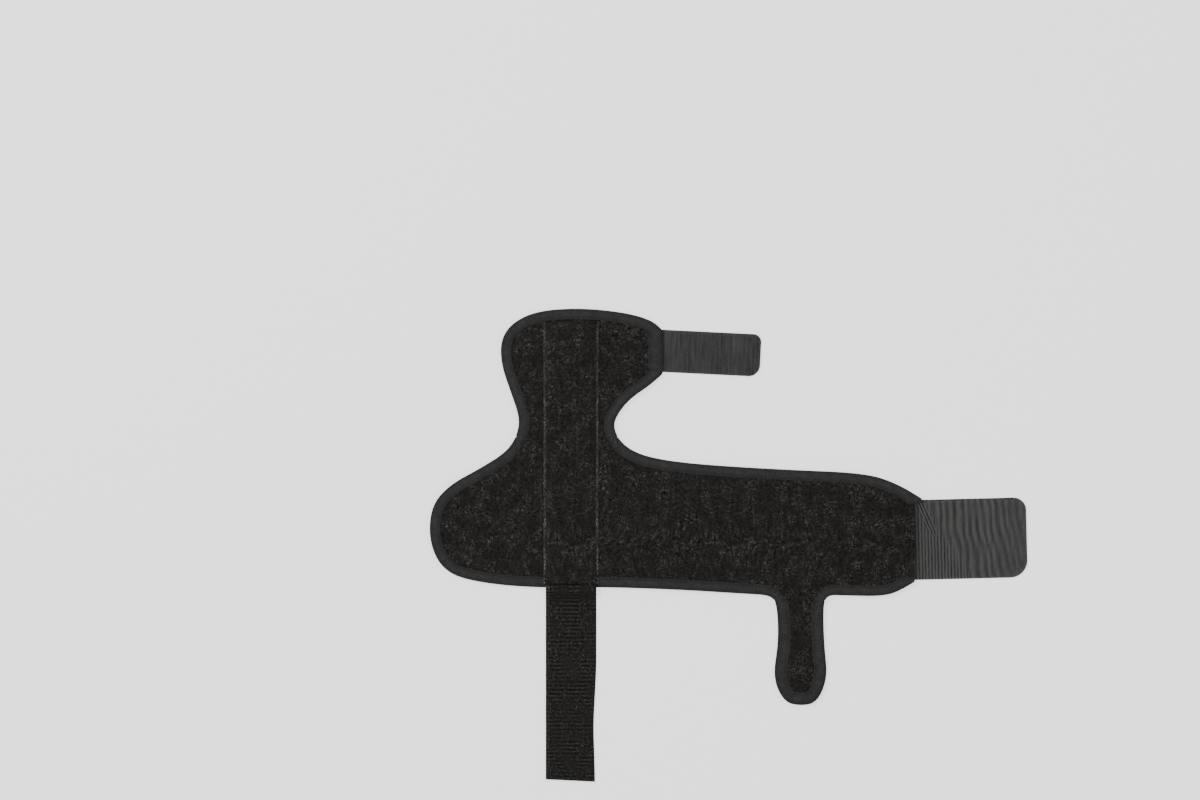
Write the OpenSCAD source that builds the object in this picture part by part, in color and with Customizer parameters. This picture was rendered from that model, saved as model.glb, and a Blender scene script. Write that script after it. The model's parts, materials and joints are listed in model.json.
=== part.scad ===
// Wrist guard laid open and flat: padded panel with a hand lobe, a flank lobe and a long wing,
// a splint in a sewn pocket with its webbing strap, two hook tape tabs and a round-ended tongue.
// Millimetres, +Z up, the loop face lies on z = 0. The origin is under the middle of the outline's box.

/* [Panel] */
// Height of the panel from its lower edge to the top of the hand lobe
panel_h = 209.5; // [205:0.5:214]
// Reach of the wing from the splint pocket's centre line
wing_reach = 257.5; // [252:0.5:263]
// Reach of the flank lobe on the other side
flank_reach = 105.5; // [100:0.5:110]
// Thickness of the bound, padded panel
panel_t = 5; // [4.5:0.5:6]
// Thickness of the lining and of the loop face
cloth_t = 0.8; // [0.6:0.1:1]

/* [Binding] */
// Width of the binding tape on each face
binding_w = 7; // [6:0.5:8]
// Thickness of the binding tape
binding_t = 0.8; // [0.6:0.1:1]

/* [Splint pocket] */
// Width across the pocket's two seams
pocket_w = 41; // [40:0.5:44]
// Height of the space inside the pocket
pocket_gap = 3.2; // [3.2:0.1:3.6]
// Thickness of the pocket's cloth
pocket_t = 0.9; // [0.7:0.1:1.2]
// Height of the pocket's mouth above the panel's lower edge
mouth_y = 4; // [3:0.5:6]

/* [Splint] */
// Width of the aluminium stay
stay_w = 25; // [20:1:28]
// Thickness of the aluminium stay
stay_t = 1.4; // [1:0.1:1.4]
// Length of the aluminium stay
stay_l = 160; // [150:1:165]
// Length that each end cap covers
cap_l = 15; // [10:1:20]

/* [Webbing strap] */
// Width of the webbing
strap_w = 38; // [36:0.5:38]
// Width of the webbing at its cut end
strap_end_w = 36.6; // [35:0.2:38]
// Thickness of the webbing
strap_t = 1.3; // [1:0.1:1.5]
// Reach of the strap below the panel's lower edge
strap_reach = 145.5; // [135:0.5:155]

/* [Hook tape tabs] */
// Thickness of the tape that carries the hooks
tape_t = 0.9; // [0.7:0.1:1]
// Height of the hooks above the tape
hook_h = 0.8; // [0.6:0.1:0.9]
// Width of the hand tab
hand_tab_w = 31.8; // [29:0.2:33]
// Reach of the hand tab from the pocket's centre line
hand_tab_reach = 142.2; // [136:0.2:148]
// Turn of the hand tab, clockwise
hand_tab_turn = 2.8; // [0:0.2:3]
// Width of the wrist tab
wrist_tab_w = 60; // [56:0.5:60]
// Reach of the wrist tab from the pocket's centre line
wrist_tab_reach = 341.8; // [336:0.2:348]
// Turn of the wrist tab, anticlockwise
wrist_tab_turn = 1.4; // [0:0.2:1.6]
// Radius of the hand tab's upper corner
hand_tab_r_upper = 6; // [3:0.2:9]
// Radius of the hand tab's lower corner
hand_tab_r_lower = 8.6; // [3:0.2:10]
// Radius of the wrist tab's upper corner
wrist_tab_r_upper = 9.4; // [5:0.2:14]
// Radius of the wrist tab's lower corner
wrist_tab_r_lower = 13; // [5:0.2:16]

/* [Hidden] */

eps = 0.01;
far = 400;                  // longer than any slice of the panel
fold_gap = 0.6;             // gap between two slices at rest
curve_steps = 8;            // points on each arc of the outline
cloth_black = [0.12, 0.11, 0.10];
lining_black = [0.14, 0.13, 0.12];
binding_grey = [0.21, 0.21, 0.21];
foam_black = [0.08, 0.08, 0.08];
tape_grey = [0.27, 0.27, 0.26];
hook_grey = [0.30, 0.30, 0.29];
webbing_black = [0.14, 0.14, 0.13];
bare_metal = [0.75, 0.76, 0.78];
cap_black = [0.10, 0.10, 0.10];

// Lines where the panel folds. The wing is cut into four slices, and its end is past the last one.
wing_folds = [35, 85, 135, 200];
past_end = 20;              // further than the wing's bound corners reach past its cut end
wing_cuts = concat(wing_folds, [wing_reach + past_end]);
flank_fold = -41.5;
notch_y = 115.5;            // height of the thumb notch's floor, above which all is hand lobe
tongue_fold_y = -8.6;
hand_tab_fold_x = 69.5;
wrist_tab_fold_x = wing_reach + 0.7;
strap_fold_y = -10.5;

// Moves of the outline's points with the driving dimensions.
top = panel_h - 209.5;
end = wing_reach - 257.5;
side = flank_reach - 105.5;

// Corners of the outline, clockwise. The edge is a smooth curve through the middle of each side.
hand_lobe = [
    [-53, 186 + top], [-44.5, 199 + top], [-26, 208 + top], [6, 210.3 + top], [40, 207 + top],
    [61, 201 + top], [69, 193 + top], [69, 193 + top], [69, 161 + top], [69, 161 + top],
    [59, 152 + top], [44, 142], [34.5, 130]
];
thumb_notch = [[31.5, 121], [37, 109.5], [49.5, 101], [70, 96]];
wing_upper = [[102, 92.5], [160, 89], [222, 86.5], [246 + end, 77.8], [263.5 + end, 67],
              [263.5 + end, 67]];
wing_lower = [[260 + end, 6.5], [260 + end, 6.5], [250 + end, 0], [236 + end, -6.2], [204, -5.4],
              [190.5, -5]];
tongue_edge = [
    [189, -18], [190, -45], [192.5, -67], [184.5, -86], [172, -88.2], [159.5, -85.5], [151, -67],
    [155.5, -40], [154.3, -12]
];
lower_edge = [[150, -5.2], [130, -4.2], [80, -1], [20, 1], [-28, 0.3]];
flank_lobe = [
    [-68 - side, 4], [-94.5 - side, 11.5], [-106.5 - side, 33], [-105.5 - side, 61],
    [-91.5 - side, 77.5], [-69, 89.5], [-48, 102.5]
];
neck = [[-40.3, 115.5], [-38.5, 128], [-46, 149], [-52.5, 168]];
outline = concat(hand_lobe, thumb_notch, wing_upper, wing_lower, tongue_edge, lower_edge,
                 flank_lobe, neck);

// One arc of the closed edge: from the middle of side i to the middle of side i + 1.
function arc_point(p, i, t) =
    let (n = len(p), a = (p[i] + p[(i + 1) % n]) / 2, b = p[(i + 1) % n],
         c = (p[(i + 1) % n] + p[(i + 2) % n]) / 2)
    a * (1 - t) * (1 - t) + b * 2 * t * (1 - t) + c * t * t;
function smooth_edge(p, steps) =
    [for (i = [0 : len(p) - 1], k = [0 : steps - 1]) arc_point(p, i, k / steps)];

// Box round the whole guard, which puts the origin in the middle of it
edge = smooth_edge(outline, curve_steps);
box_left = min([for (p = edge) p[0]]);
box_right = wrist_tab_fold_x + wrist_tab_r_lower
          + (wrist_tab_reach - wrist_tab_r_lower - wrist_tab_fold_x) * cos(wrist_tab_turn)
          + (wrist_tab_w / 2 - wrist_tab_r_lower) * sin(wrist_tab_turn);
box_top = max([for (p = edge) p[1]]);
origin_x = (box_left + box_right) / 2;
origin_y = (box_top - strap_reach) / 2;

module to_origin() {
    translate([-origin_x, -origin_y, 0])
        children();
}

// Whole edge of the panel and tongue. The wing's end is cut square between two bound corners.
module panel_2d() {
    gap_below = 1.2;
    gap_above = 0.4;
    difference() {
        polygon(edge);
        translate([wing_reach, wrist_tab_mid_y - wrist_tab_w / 2 - gap_below])
            square([past_end, wrist_tab_w + gap_below + gap_above]);
    }
}

// The panel inside its binding. At the wing's end nothing is bound, so the cloth runs to the cut.
module field_2d() {
    side_gap = 2;
    reach = binding_w + 2;
    offset(delta = -binding_w)
        panel_2d();
    intersection() {
        panel_2d();
        translate([wing_reach - reach, wrist_tab_mid_y - wrist_tab_w / 2 + side_gap])
            square([reach, wrist_tab_w - 2 * side_gap]);
    }
}

module under_binding_2d() {
    offset(delta = -binding_t)
        panel_2d();
}

// Plan of one slice of the panel
module slice_2d(name) {
    half_gap = fold_gap / 2;
    if (name == "core") {
        translate([flank_fold + half_gap, -far])
            square([wing_folds[0] - flank_fold - fold_gap, 2 * far]);
        translate([-far, notch_y])
            square([2 * far, far]);
    }
    if (name == "flank")
        translate([flank_fold - half_gap - far, notch_y - half_gap - far])
            square([far, far]);
    if (name == "tongue")
        translate([wing_folds[2], tongue_fold_y - half_gap - far])
            square([wing_folds[3] - wing_folds[2], far]);
    for (k = [1 : len(wing_folds)])
        if (name == str("wing_", k))
            translate([wing_cuts[k - 1] + half_gap, tongue_fold_y + half_gap])
                square([wing_cuts[k] - wing_cuts[k - 1] - fold_gap, notch_y - tongue_fold_y - fold_gap]);
}

// Extrudes the part of its children that lies in the named slice.
module sliced(name, z, height) {
    to_origin()
        translate([0, 0, z])
            linear_extrude(height)
                intersection() {
                    children();
                    slice_2d(name);
                }
}

// Recess under the panel for the sewn root of each tab
module tab_recesses() {
    side_gap = 0.2;
    past_fold = 5;
    to_origin() {
        hand_tab_plan(hand_tab_root_x - eps, hand_tab_fold_x + past_fold, -1, tape_t + 1, side_gap);
        wrist_tab_plan(wrist_tab_root_x - eps, wrist_tab_fold_x + past_fold, -1, tape_t + 1, side_gap);
    }
}

// Loop cloth on the side that lies on the table
module loop_face(name) {
    color(cloth_black)
        difference() {
            sliced(name, 0, cloth_t)
                field_2d();
            tab_recesses();
        }
}

// Neoprene core, inside the fold of the binding
module foam(name) {
    color(foam_black)
        difference() {
            sliced(name, cloth_t, panel_t - 2 * cloth_t)
                under_binding_2d();
            tab_recesses();
        }
}

// Brushed lining on the hand's side
module lining(name) {
    color(lining_black)
        sliced(name, panel_t - cloth_t, cloth_t)
            field_2d();
}

// Tape folded over the edge: a flange on each face and a web between them
module binding(name) {
    color(binding_grey)
        difference() {
            sliced(name, 0, panel_t)
                panel_2d();
            sliced(name, -1, panel_t + 2)
                field_2d();
            sliced(name, cloth_t, panel_t - 2 * cloth_t)
                under_binding_2d();
            tab_recesses();
        }
}

// Pocket: cloth sewn down along both long edges, closed at the top and open at the mouth
pocket_top_y = panel_h - binding_w - 2;     // 2 below the binding
pocket_end = 5;
side_t = 1;
shoulder = 1.2;             // sloping top corner of the pocket
module pocket_profile(inset) {
    half = pocket_w / 2 - (inset ? side_t : 0);
    rise = pocket_gap + (inset ? 0 : pocket_t);
    polygon([[-half, 0], [-half, rise / 2], [shoulder - half, rise], [half - shoulder, rise],
             [half, rise / 2], [half, 0]]);
}
module splint_pocket() {
    length = pocket_top_y - mouth_y;
    color(lining_black)
        to_origin()
            translate([0, pocket_top_y, panel_t])
                rotate([90, 0, 0])
                    difference() {
                        linear_extrude(length)
                            pocket_profile(false);
                        translate([0, 0, pocket_end])
                            linear_extrude(length)
                                pocket_profile(true);
                    }
}

// Splint, lying in its sleeve inside the pocket
sleeve_t = 0.3;
cap_t = 0.3;
end_play = 1.5;             // between the splint and the pocket's closed end
sleeve_lift = 0.3;          // between the splint and the lining
splint_top_y = pocket_top_y - pocket_end - end_play;
stay_top_y = splint_top_y - sleeve_t - cap_t;
stay_bottom_y = stay_top_y - stay_l;
sleeve_z = panel_t + sleeve_lift;
stay_z = sleeve_z + sleeve_t + cap_t;
sleeve_w = stay_w + 2 * (cap_t + sleeve_t);

module round_bar(width, y_low, y_high, z, thickness) {
    r = width / 2;
    translate([0, 0, z])
        linear_extrude(thickness) {
            translate([-r, y_low + r])
                square([width, y_high - y_low - width]);
            for (y = [y_low + r, y_high - r])
                translate([0, y])
                    circle(r, $fn = 64);
        }
}
module stay_space(grow) {
    round_bar(stay_w + 2 * grow, stay_bottom_y - grow, stay_top_y + grow, stay_z - grow, stay_t + 2 * grow);
}
module splint_stay() {
    color(bare_metal)
        to_origin()
            stay_space(0);
}
// Moulded cap over one end of the stay
module splint_cap(y_low) {
    color(cap_black)
        to_origin()
            difference() {
                intersection() {
                    stay_space(cap_t);
                    translate([-stay_w, y_low, 0])
                        cube([2 * stay_w, cap_l + cap_t, 3 * panel_t]);
                }
                stay_space(0);
            }
}
module splint_cap_lower() {
    splint_cap(stay_bottom_y - cap_t);
}
module splint_cap_upper() {
    splint_cap(stay_top_y - cap_l);
}
// Cloth sleeve sewn shut round the splint. Its flat tail is sewn to the underside of the webbing.
tail_low_y = mouth_y + 2;
module splint_sleeve() {
    color(cloth_black)
        to_origin()
            difference() {
                union() {
                    stay_space(cap_t + sleeve_t);
                    translate([-sleeve_w / 2, tail_low_y, sleeve_z])
                        cube([sleeve_w, stay_bottom_y + stay_w / 2 - tail_low_y, 2 * sleeve_t]);
                }
                stay_space(cap_t);
            }
}

// Webbing inside the mouth and down over the panel's edge to the table
strap_gap = 0.4;            // from the webbing to the splint, and to each side of its fold line
slant = 0.5;                // how much further down the upper side of each bend lies
anchor_top_y = stay_bottom_y - cap_t - sleeve_t - strap_gap;
anchor_z = sleeve_z + 2 * sleeve_t;
brim_y = -1.2;              // where the webbing starts down
table_y = -9.5;             // where it reaches the table
module strap_anchor() {
    low = strap_fold_y + strap_gap;
    color(webbing_black)
        to_origin()
            translate([-strap_w / 2, 0, 0])
                rotate([90, 0, 90])
                    linear_extrude(strap_w)
                        polygon([
                            [anchor_top_y, anchor_z], [brim_y, anchor_z], [table_y, 0], [low, 0],
                            [low, strap_t], [table_y - slant, strap_t],
                            [brim_y - slant, anchor_z + strap_t], [anchor_top_y, anchor_z + strap_t]
                        ]);
}
// Free length of the strap, flat on the table, narrower at its slightly oblique cut end
module webbing_strap() {
    half = strap_w / 2;
    oblique = 1.8;
    color(webbing_black)
        to_origin()
            linear_extrude(strap_t)
                polygon([
                    [-half, strap_fold_y - strap_gap], [half, strap_fold_y - strap_gap],
                    [strap_end_w - half, -strap_reach], [-half, oblique - strap_reach]
                ]);
}

// Plan of a tab between two stations along it
module tab_plan(x_low, x_high, width, z, height, grow) {
    translate([0, 0, z])
        linear_extrude(height)
            translate([x_low, -width / 2 - grow])
                square([x_high - x_low, width + 2 * grow]);
}
// The same with two rounded corners at its free end
module tab_end(x_low, x_high, width, r_lower, r_upper, z, height) {
    r_most = max(r_lower, r_upper);
    translate([0, 0, z])
        linear_extrude(height) {
            translate([x_low, -width / 2])
                square([x_high - r_most - x_low, width]);
            translate([x_high - r_most - eps, r_lower - width / 2])
                square([r_most + eps, width - r_lower - r_upper]);
            for (corner = [[r_lower, r_lower - width / 2], [r_upper, width / 2 - r_upper]]) {
                translate([x_high - corner[0], corner[1]])
                    circle(corner[0], $fn = 64);
                translate([x_high - r_most - eps, corner[1] - corner[0]])
                    square([r_most - corner[0] + eps, 2 * corner[0]]);
            }
        }
}

hand_tab_root_x = 57;
hand_tab_mid_y = 178 + top;
wrist_tab_root_x = wing_reach - 18;
wrist_tab_mid_y = 36.2;

// Frames of the two tabs: x runs along the tab from the pocket's centre line
module hand_tab_frame() {
    translate([hand_tab_fold_x, hand_tab_mid_y, 0])
        rotate(-hand_tab_turn)
            translate([-hand_tab_fold_x, 0, 0])
                children();
}
module wrist_tab_frame() {
    translate([wrist_tab_fold_x, wrist_tab_mid_y, 0])
        rotate(wrist_tab_turn)
            translate([-wrist_tab_fold_x, 0, 0])
                children();
}
module hand_tab_plan(x_low, x_high, z, height, grow) {
    hand_tab_frame()
        tab_plan(x_low, x_high, hand_tab_w, z, height, grow);
}
module wrist_tab_plan(x_low, x_high, z, height, grow) {
    wrist_tab_frame()
        tab_plan(x_low, x_high, wrist_tab_w, z, height, grow);
}

// Sewn roots of the tabs, in the recesses under the panel
root_gap = 0.6;             // from the root to the fold line
module hand_tab_anchor() {
    color(tape_grey)
        to_origin()
            hand_tab_plan(hand_tab_root_x, hand_tab_fold_x - root_gap, 0, tape_t, 0);
}
module wrist_tab_anchor() {
    color(tape_grey)
        to_origin()
            wrist_tab_plan(wrist_tab_root_x, wrist_tab_fold_x - root_gap, 0, tape_t, 0);
}

// Free tapes and the hooks on them
tab_start = 0.5;            // from the fold line to the free tape
hook_start = 3;             // from the fold line to the first hooks
hook_margin = 1.2;
module hand_tab_tape() {
    color(tape_grey)
        to_origin()
            hand_tab_frame()
                tab_end(hand_tab_fold_x + tab_start, hand_tab_reach, hand_tab_w,
                        hand_tab_r_lower, hand_tab_r_upper, 0, tape_t);
}
module hand_tab_hooks() {
    color(hook_grey)
        to_origin()
            hand_tab_frame()
                tab_end(hand_tab_fold_x + hook_start, hand_tab_reach - hook_margin,
                        hand_tab_w - 2 * hook_margin, hand_tab_r_lower - hook_margin,
                        hand_tab_r_upper - hook_margin, tape_t, hook_h);
}
module wrist_tab_tape() {
    color(tape_grey)
        to_origin()
            wrist_tab_frame()
                tab_end(wrist_tab_fold_x + tab_start, wrist_tab_reach, wrist_tab_w,
                        wrist_tab_r_lower, wrist_tab_r_upper, 0, tape_t);
}
module wrist_tab_hooks() {
    color(hook_grey)
        to_origin()
            wrist_tab_frame()
                tab_end(wrist_tab_fold_x + hook_start, wrist_tab_reach - hook_margin,
                        wrist_tab_w - 2 * hook_margin, wrist_tab_r_lower - hook_margin,
                        wrist_tab_r_upper - hook_margin, tape_t, hook_h);
}

for (name = ["core", "flank", "wing_1", "wing_2", "wing_3", "wing_4", "tongue"]) {
    loop_face(name);
    foam(name);
    lining(name);
    binding(name);
}
splint_pocket();
splint_stay();
splint_cap_lower();
splint_cap_upper();
splint_sleeve();
strap_anchor();
webbing_strap();
hand_tab_anchor();
hand_tab_tape();
hand_tab_hooks();
wrist_tab_anchor();
wrist_tab_tape();
wrist_tab_hooks();
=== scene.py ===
"""Wrist guard laid open and flat: cloth, binding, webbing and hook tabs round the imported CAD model.

Outlines and places are read from the CAD nodes. Sizes of the guard are in millimetres until a mesh is
made. Those of the stage, and the depths of relief in a material, are in metres.
"""
import json
import math

import bpy
import numpy as np
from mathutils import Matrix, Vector, noise
from mathutils.geometry import delaunay_2d_cdt
from mathutils.kdtree import KDTree

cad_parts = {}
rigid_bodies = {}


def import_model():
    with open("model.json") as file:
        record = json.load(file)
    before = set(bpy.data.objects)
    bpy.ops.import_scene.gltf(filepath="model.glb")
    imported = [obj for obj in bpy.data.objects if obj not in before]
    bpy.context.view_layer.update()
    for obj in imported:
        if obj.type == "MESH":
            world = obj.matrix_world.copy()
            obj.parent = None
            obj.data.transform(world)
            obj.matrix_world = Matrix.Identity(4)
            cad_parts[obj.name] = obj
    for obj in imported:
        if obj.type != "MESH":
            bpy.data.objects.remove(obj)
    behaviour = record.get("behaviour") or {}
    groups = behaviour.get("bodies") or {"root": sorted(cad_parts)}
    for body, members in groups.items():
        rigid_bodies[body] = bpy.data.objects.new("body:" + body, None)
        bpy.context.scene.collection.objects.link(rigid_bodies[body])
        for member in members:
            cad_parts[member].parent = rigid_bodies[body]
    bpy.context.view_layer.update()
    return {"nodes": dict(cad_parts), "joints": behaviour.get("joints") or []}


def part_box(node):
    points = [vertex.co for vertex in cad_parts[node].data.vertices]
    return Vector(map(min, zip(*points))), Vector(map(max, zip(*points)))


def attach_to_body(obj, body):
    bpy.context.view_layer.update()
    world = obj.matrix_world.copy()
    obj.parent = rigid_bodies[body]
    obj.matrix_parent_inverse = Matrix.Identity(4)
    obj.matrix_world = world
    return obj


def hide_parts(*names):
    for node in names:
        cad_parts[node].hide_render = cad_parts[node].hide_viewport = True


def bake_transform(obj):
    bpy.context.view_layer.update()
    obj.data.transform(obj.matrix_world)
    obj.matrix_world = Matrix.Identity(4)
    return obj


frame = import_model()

MM = 0.001
UP = Vector((0, 0, 1))
UV_CELL = 10.0  # millimetres in one unit of a piece's UV map
RIB_PITCH = 3.0  # of the webbing's ribs
SELVEDGE = 3.6  # plain woven strip along the webbing's left edge

# ---- places taken from the frame

JOINT_OF = {joint["child"]: joint for joint in frame["joints"]}
SLICES = ["core", "flank", "wing_1", "wing_2", "wing_3", "wing_4", "tongue"]
# Length of cloth, past its fold line, over which each body bends away from its parent
SOFT_LENGTH = {"flank": 34, "wing_1": 40, "wing_2": 42, "wing_3": 11, "wing_4": 44, "tongue": 15,
               "hand_tab": 12, "wrist_tab": 14, "strap": 13}


def box_mm(node):
    low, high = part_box(node)
    return np.array(low) / MM, np.array(high) / MM


def fold_place(body):
    """A point on the body's fold line and the flat direction away from it, in millimetres."""
    joint = JOINT_OF[body]
    place = Vector(joint["pos_m"]) / MM
    return place, UP.cross(Vector(joint["axis"])).normalized()


def cut_lines():
    """Fold lines of the panel as (axis, place, low, high). Both sides of each gap are closed onto them."""
    lines = []
    for body in SLICES[1:]:
        place, outward = fold_place(body)
        axis = 0 if abs(outward.x) > 0.5 else 1
        low, high = box_mm(f"{body}_binding")
        lines.append((axis, place[axis], low[1 - axis] - 1, high[1 - axis] + 1))
    return lines


GAP_REACH = 0.36  # a little over half the gap between two slices
CUTS = cut_lines()


def closed_onto_cut(point):
    point = list(point)
    for axis, place, low, high in CUTS:
        if abs(point[axis] - place) < GAP_REACH and low < point[1 - axis] < high:
            point[axis] = place
    return tuple(point)


def toggle(edges, pair):
    """Adds a directed edge, or cancels its opposite. What stays in the end is the border."""
    if pair[::-1] in edges:
        edges.remove(pair[::-1])
    else:
        edges.add(pair)


def top_loops(node):
    """Closed outlines of a node's flat top, each a list of (x, y)."""
    mesh = frame["nodes"][node].data
    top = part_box(node)[1].z
    edges = set()
    for face in mesh.polygons:
        if face.normal.z < 0.9 or abs(face.center.z - top) > 1e-5:
            continue
        corners = [mesh.vertices[i].co for i in face.vertices]
        keys = [(round(c.x / MM, 3), round(c.y / MM, 3)) for c in corners]
        for pair in zip(keys, keys[1:] + keys[:1]):
            toggle(edges, pair)
    follows = dict(edges)
    loops = []
    while follows:
        first, point = follows.popitem()
        loop = [first]
        while point != first:
            loop.append(point)
            point = follows.pop(point)
        loops.append([closed_onto_cut(p) for p in loop])
    return loops


def tree_of(points):
    tree = KDTree(len(points))
    for i, point in enumerate(points):
        tree.insert((point[0], point[1], 0), i)
    tree.balance()
    return tree


def distance_to(tree, x, y):
    return tree.find((x, y, 0))[2]


def line_lengths(points):
    """Length of a line from its start up to each of its points."""
    steps = np.linalg.norm(np.diff(np.array(points, float), axis=0), axis=1)
    return np.concatenate([[0], np.cumsum(steps)])


def resampled(points, step):
    """Points at even spacing along an open line, with both ends kept."""
    points = np.array(points, float)
    along = line_lengths(points)
    count = max(2, int(round(along[-1] / step)) + 1)
    places = np.linspace(0, along[-1], count)
    return np.stack([np.interp(places, along, points[:, k]) for k in range(2)], axis=1)


def eased(points, passes):
    """Takes the facets out of a line: each pass moves a point halfway to its neighbours' middle."""
    points = points.copy()
    for _ in range(passes):
        points[1:-1] += ((points[:-2] + points[2:]) / 2 - points[1:-1]) / 2
    return points


def binding_runs(body):
    """Outer edge and seam line of each stretch of a slice's binding, side by side in one direction."""
    lining = tree_of([p for loop in top_loops(f"{body}_lining") for p in loop])
    runs = []
    for loop in top_loops(f"{body}_binding"):
        shared = [distance_to(lining, *p) < 0.02 for p in loop]
        start = next(i for i in range(len(loop)) if shared[i] and not shared[i - 1])
        loop = loop[start:] + loop[:start]
        shared = shared[start:] + shared[:start]
        split = shared.index(False)
        runs.append((loop[split:][::-1], loop[:split]))
    return runs


RUNS = {body: binding_runs(body) for body in SLICES}
SEAM = tree_of([p for runs in RUNS.values() for _, seam in runs for p in resampled(seam, 0.5)])

POCKET_LOW, POCKET_HIGH = box_mm("splint_pocket")
POCKET_X = (POCKET_LOW[0] + POCKET_HIGH[0]) / 2
POCKET_HALF = (POCKET_HIGH[0] - POCKET_LOW[0]) / 2
PANEL_TOP = box_mm("core_lining")[1][2]

# ---- heights


def smooth(value, low, high):
    t = min(1.0, max(0.0, (value - low) / (high - low)))
    return t * t * (3 - 2 * t)


def swell(x, y, size, seed):
    """Slow unevenness of cloth, from -1 to 1."""
    return noise.noise(Vector((x / size, y / size, seed)))


TAB_ROOT = {body: box_mm(f"{body}_anchor") for body in ("hand_tab", "wrist_tab")}
PAST_ROOT = 6  # the panel's own edge lies this far past a root's end at most
ROOT_EASE = 1.6


def sewn_under(x, y):
    """1 where a tab's root is sewn under the panel, easing to 0 round it."""
    share = 0.0
    for low, high in TAB_ROOT.values():
        outside = max(low[0] - x, x - high[0] - PAST_ROOT, low[1] - y, y - high[1], 0)
        share = max(share, 1 - smooth(outside, 0, ROOT_EASE))
    return share


SEAM_TOP = 4.1  # height of the lining where it goes under the binding
CROWN = 1.1  # how much higher it stands away from the seam
CROWN_REACH = 4.5
UNDER_LIFT = 0.6  # how far the loop cloth lifts off the table at the seam
LINING_T = 0.8
LINING_WAVES = ((0.16, 34, 1), (0.08, 9, 2), (0.07, 3.2, 3))  # (height, size, seed)
FOAM_TOP = 3.05  # at the seam
FOAM_CROWN = 1.05
TAPE_LIFT = 0.95  # room for a tab's root under the panel


def crown(x, y):
    return 1 - math.exp(-distance_to(SEAM, x, y) / CROWN_REACH)


def lining_top(x, y):
    rise = crown(x, y)
    uneven = sum(height * swell(x, y, size, seed) for height, size, seed in LINING_WAVES)
    return SEAM_TOP + CROWN * rise + uneven * rise


def lining_under(x, y):
    return lining_top(x, y) - LINING_T


def loop_under(x, y):
    return UNDER_LIFT * (1 - crown(x, y)) + TAPE_LIFT * sewn_under(x, y)


def loop_top(x, y):
    return loop_under(x, y) + LINING_T


def foam_top(x, y):
    return FOAM_TOP + FOAM_CROWN * crown(x, y)


def foam_under(x, y):
    return loop_top(x, y) + 0.02


# ---- meshes


SHARP_ANGLE = 50  # degrees; rims of cloth stay crisp, so slices meet without a bright line


def linked(name, data):
    """A new object in the scene."""
    made = bpy.data.objects.new(name, data)
    bpy.context.scene.collection.objects.link(made)
    return made


def set_uvs(mesh, uvs):
    """Fills the UV map from one (u, v) in millimetres for each point."""
    corners = np.zeros(len(mesh.loops), int)
    mesh.loops.foreach_get("vertex_index", corners)
    mesh.uv_layers["rest"].data.foreach_set("uv", (np.array(uvs, float)[corners] / UV_CELL).ravel())


def new_piece(name, points, faces, uvs=None):
    """A mesh object from points in millimetres. Its UV map is its plan, unless uvs says otherwise."""
    mesh = bpy.data.meshes.new(name)
    mesh.from_pydata([tuple(c * MM for c in p) for p in points], [], faces)
    mesh.uv_layers.new(name="rest")
    set_uvs(mesh, uvs or [(p[0], p[1]) for p in points])
    mesh.validate()
    mesh.shade_smooth()
    mesh.set_sharp_from_angle(angle=math.radians(SHARP_ANGLE))
    return linked(name, mesh)


def inside(x, y, loop):
    """Even-odd test against a closed outline, an array of points."""
    ax, ay = loop[:, 0], loop[:, 1]
    bx, by = np.roll(ax, -1), np.roll(ay, -1)
    crosses = (ay > y) != (by > y)
    with np.errstate(divide="ignore", invalid="ignore"):
        hit = crosses & (x < (bx - ax) * (y - ay) / (by - ay) + ax)
    return hit.sum() % 2 == 1


def filled(loop, step, edge_step):
    """Flat triangles over a closed outline: (points, triangles)."""
    edge = []
    for a, b in zip(loop, loop[1:] + loop[:1]):
        edge.extend(map(tuple, resampled([a, b], edge_step)[:-1]))
    outline = np.array(edge)
    near = tree_of(edge)
    points = list(edge)
    low, high = outline.min(0), outline.max(0)
    row_height = step * math.sqrt(3) / 2
    clear = step * 0.55
    # Rows sit on one lattice for the whole panel, so neighbouring slices look alike.
    for row in range(math.floor(low[1] / row_height), math.ceil(high[1] / row_height) + 1):
        y = row * row_height
        shift = step / 2 if row % 2 else 0
        for column in range(math.floor(low[0] / step), math.ceil(high[0] / step) + 1):
            x = column * step + shift
            if inside(x, y, outline) and distance_to(near, x, y) > clear:
                points.append((x, y))
    count = len(edge)
    ring = [(i, (i + 1) % count) for i in range(count)]
    made = delaunay_2d_cdt([Vector(p) for p in points], ring, [], 1, 1e-5)
    return [tuple(p) for p in made[0]], [tuple(f) for f in made[2]]


def cloth_sheet(name, loops, step, edge_step, top, under):
    """A closed sheet over one or more outlines, with its two faces at heights top(x, y) and under(x, y)."""
    points, faces = [], []
    for loop in loops:
        flat, triangles = filled(loop, step, edge_step)
        start, count = len(points), len(flat)
        points.extend((x, y, top(x, y)) for x, y in flat)
        points.extend((x, y, under(x, y)) for x, y in flat)
        open_edges = set()
        for a, b, c in triangles:
            faces.append((start + a, start + b, start + c))
            faces.append((start + count + c, start + count + b, start + count + a))
            for pair in ((a, b), (b, c), (c, a)):
                toggle(open_edges, pair)
        for a, b in sorted(open_edges):
            faces.append((start + b, start + a, start + count + a, start + count + b))
    return new_piece(name, points, faces)


def tube_faces(start, rings, size):
    """Faces of a tube that is closed at both ends: rings rings of size points each, from point start on."""
    last = start + (rings - 1) * size
    faces = [tuple(range(start, start + size))]
    for ring in range(start, last, size):
        for k in range(size):
            a, b = ring + k, ring + (k + 1) % size
            faces.append((b, a, a + size, b + size))
    faces.append(tuple(range(last, last + size))[::-1])
    return faces


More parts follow.
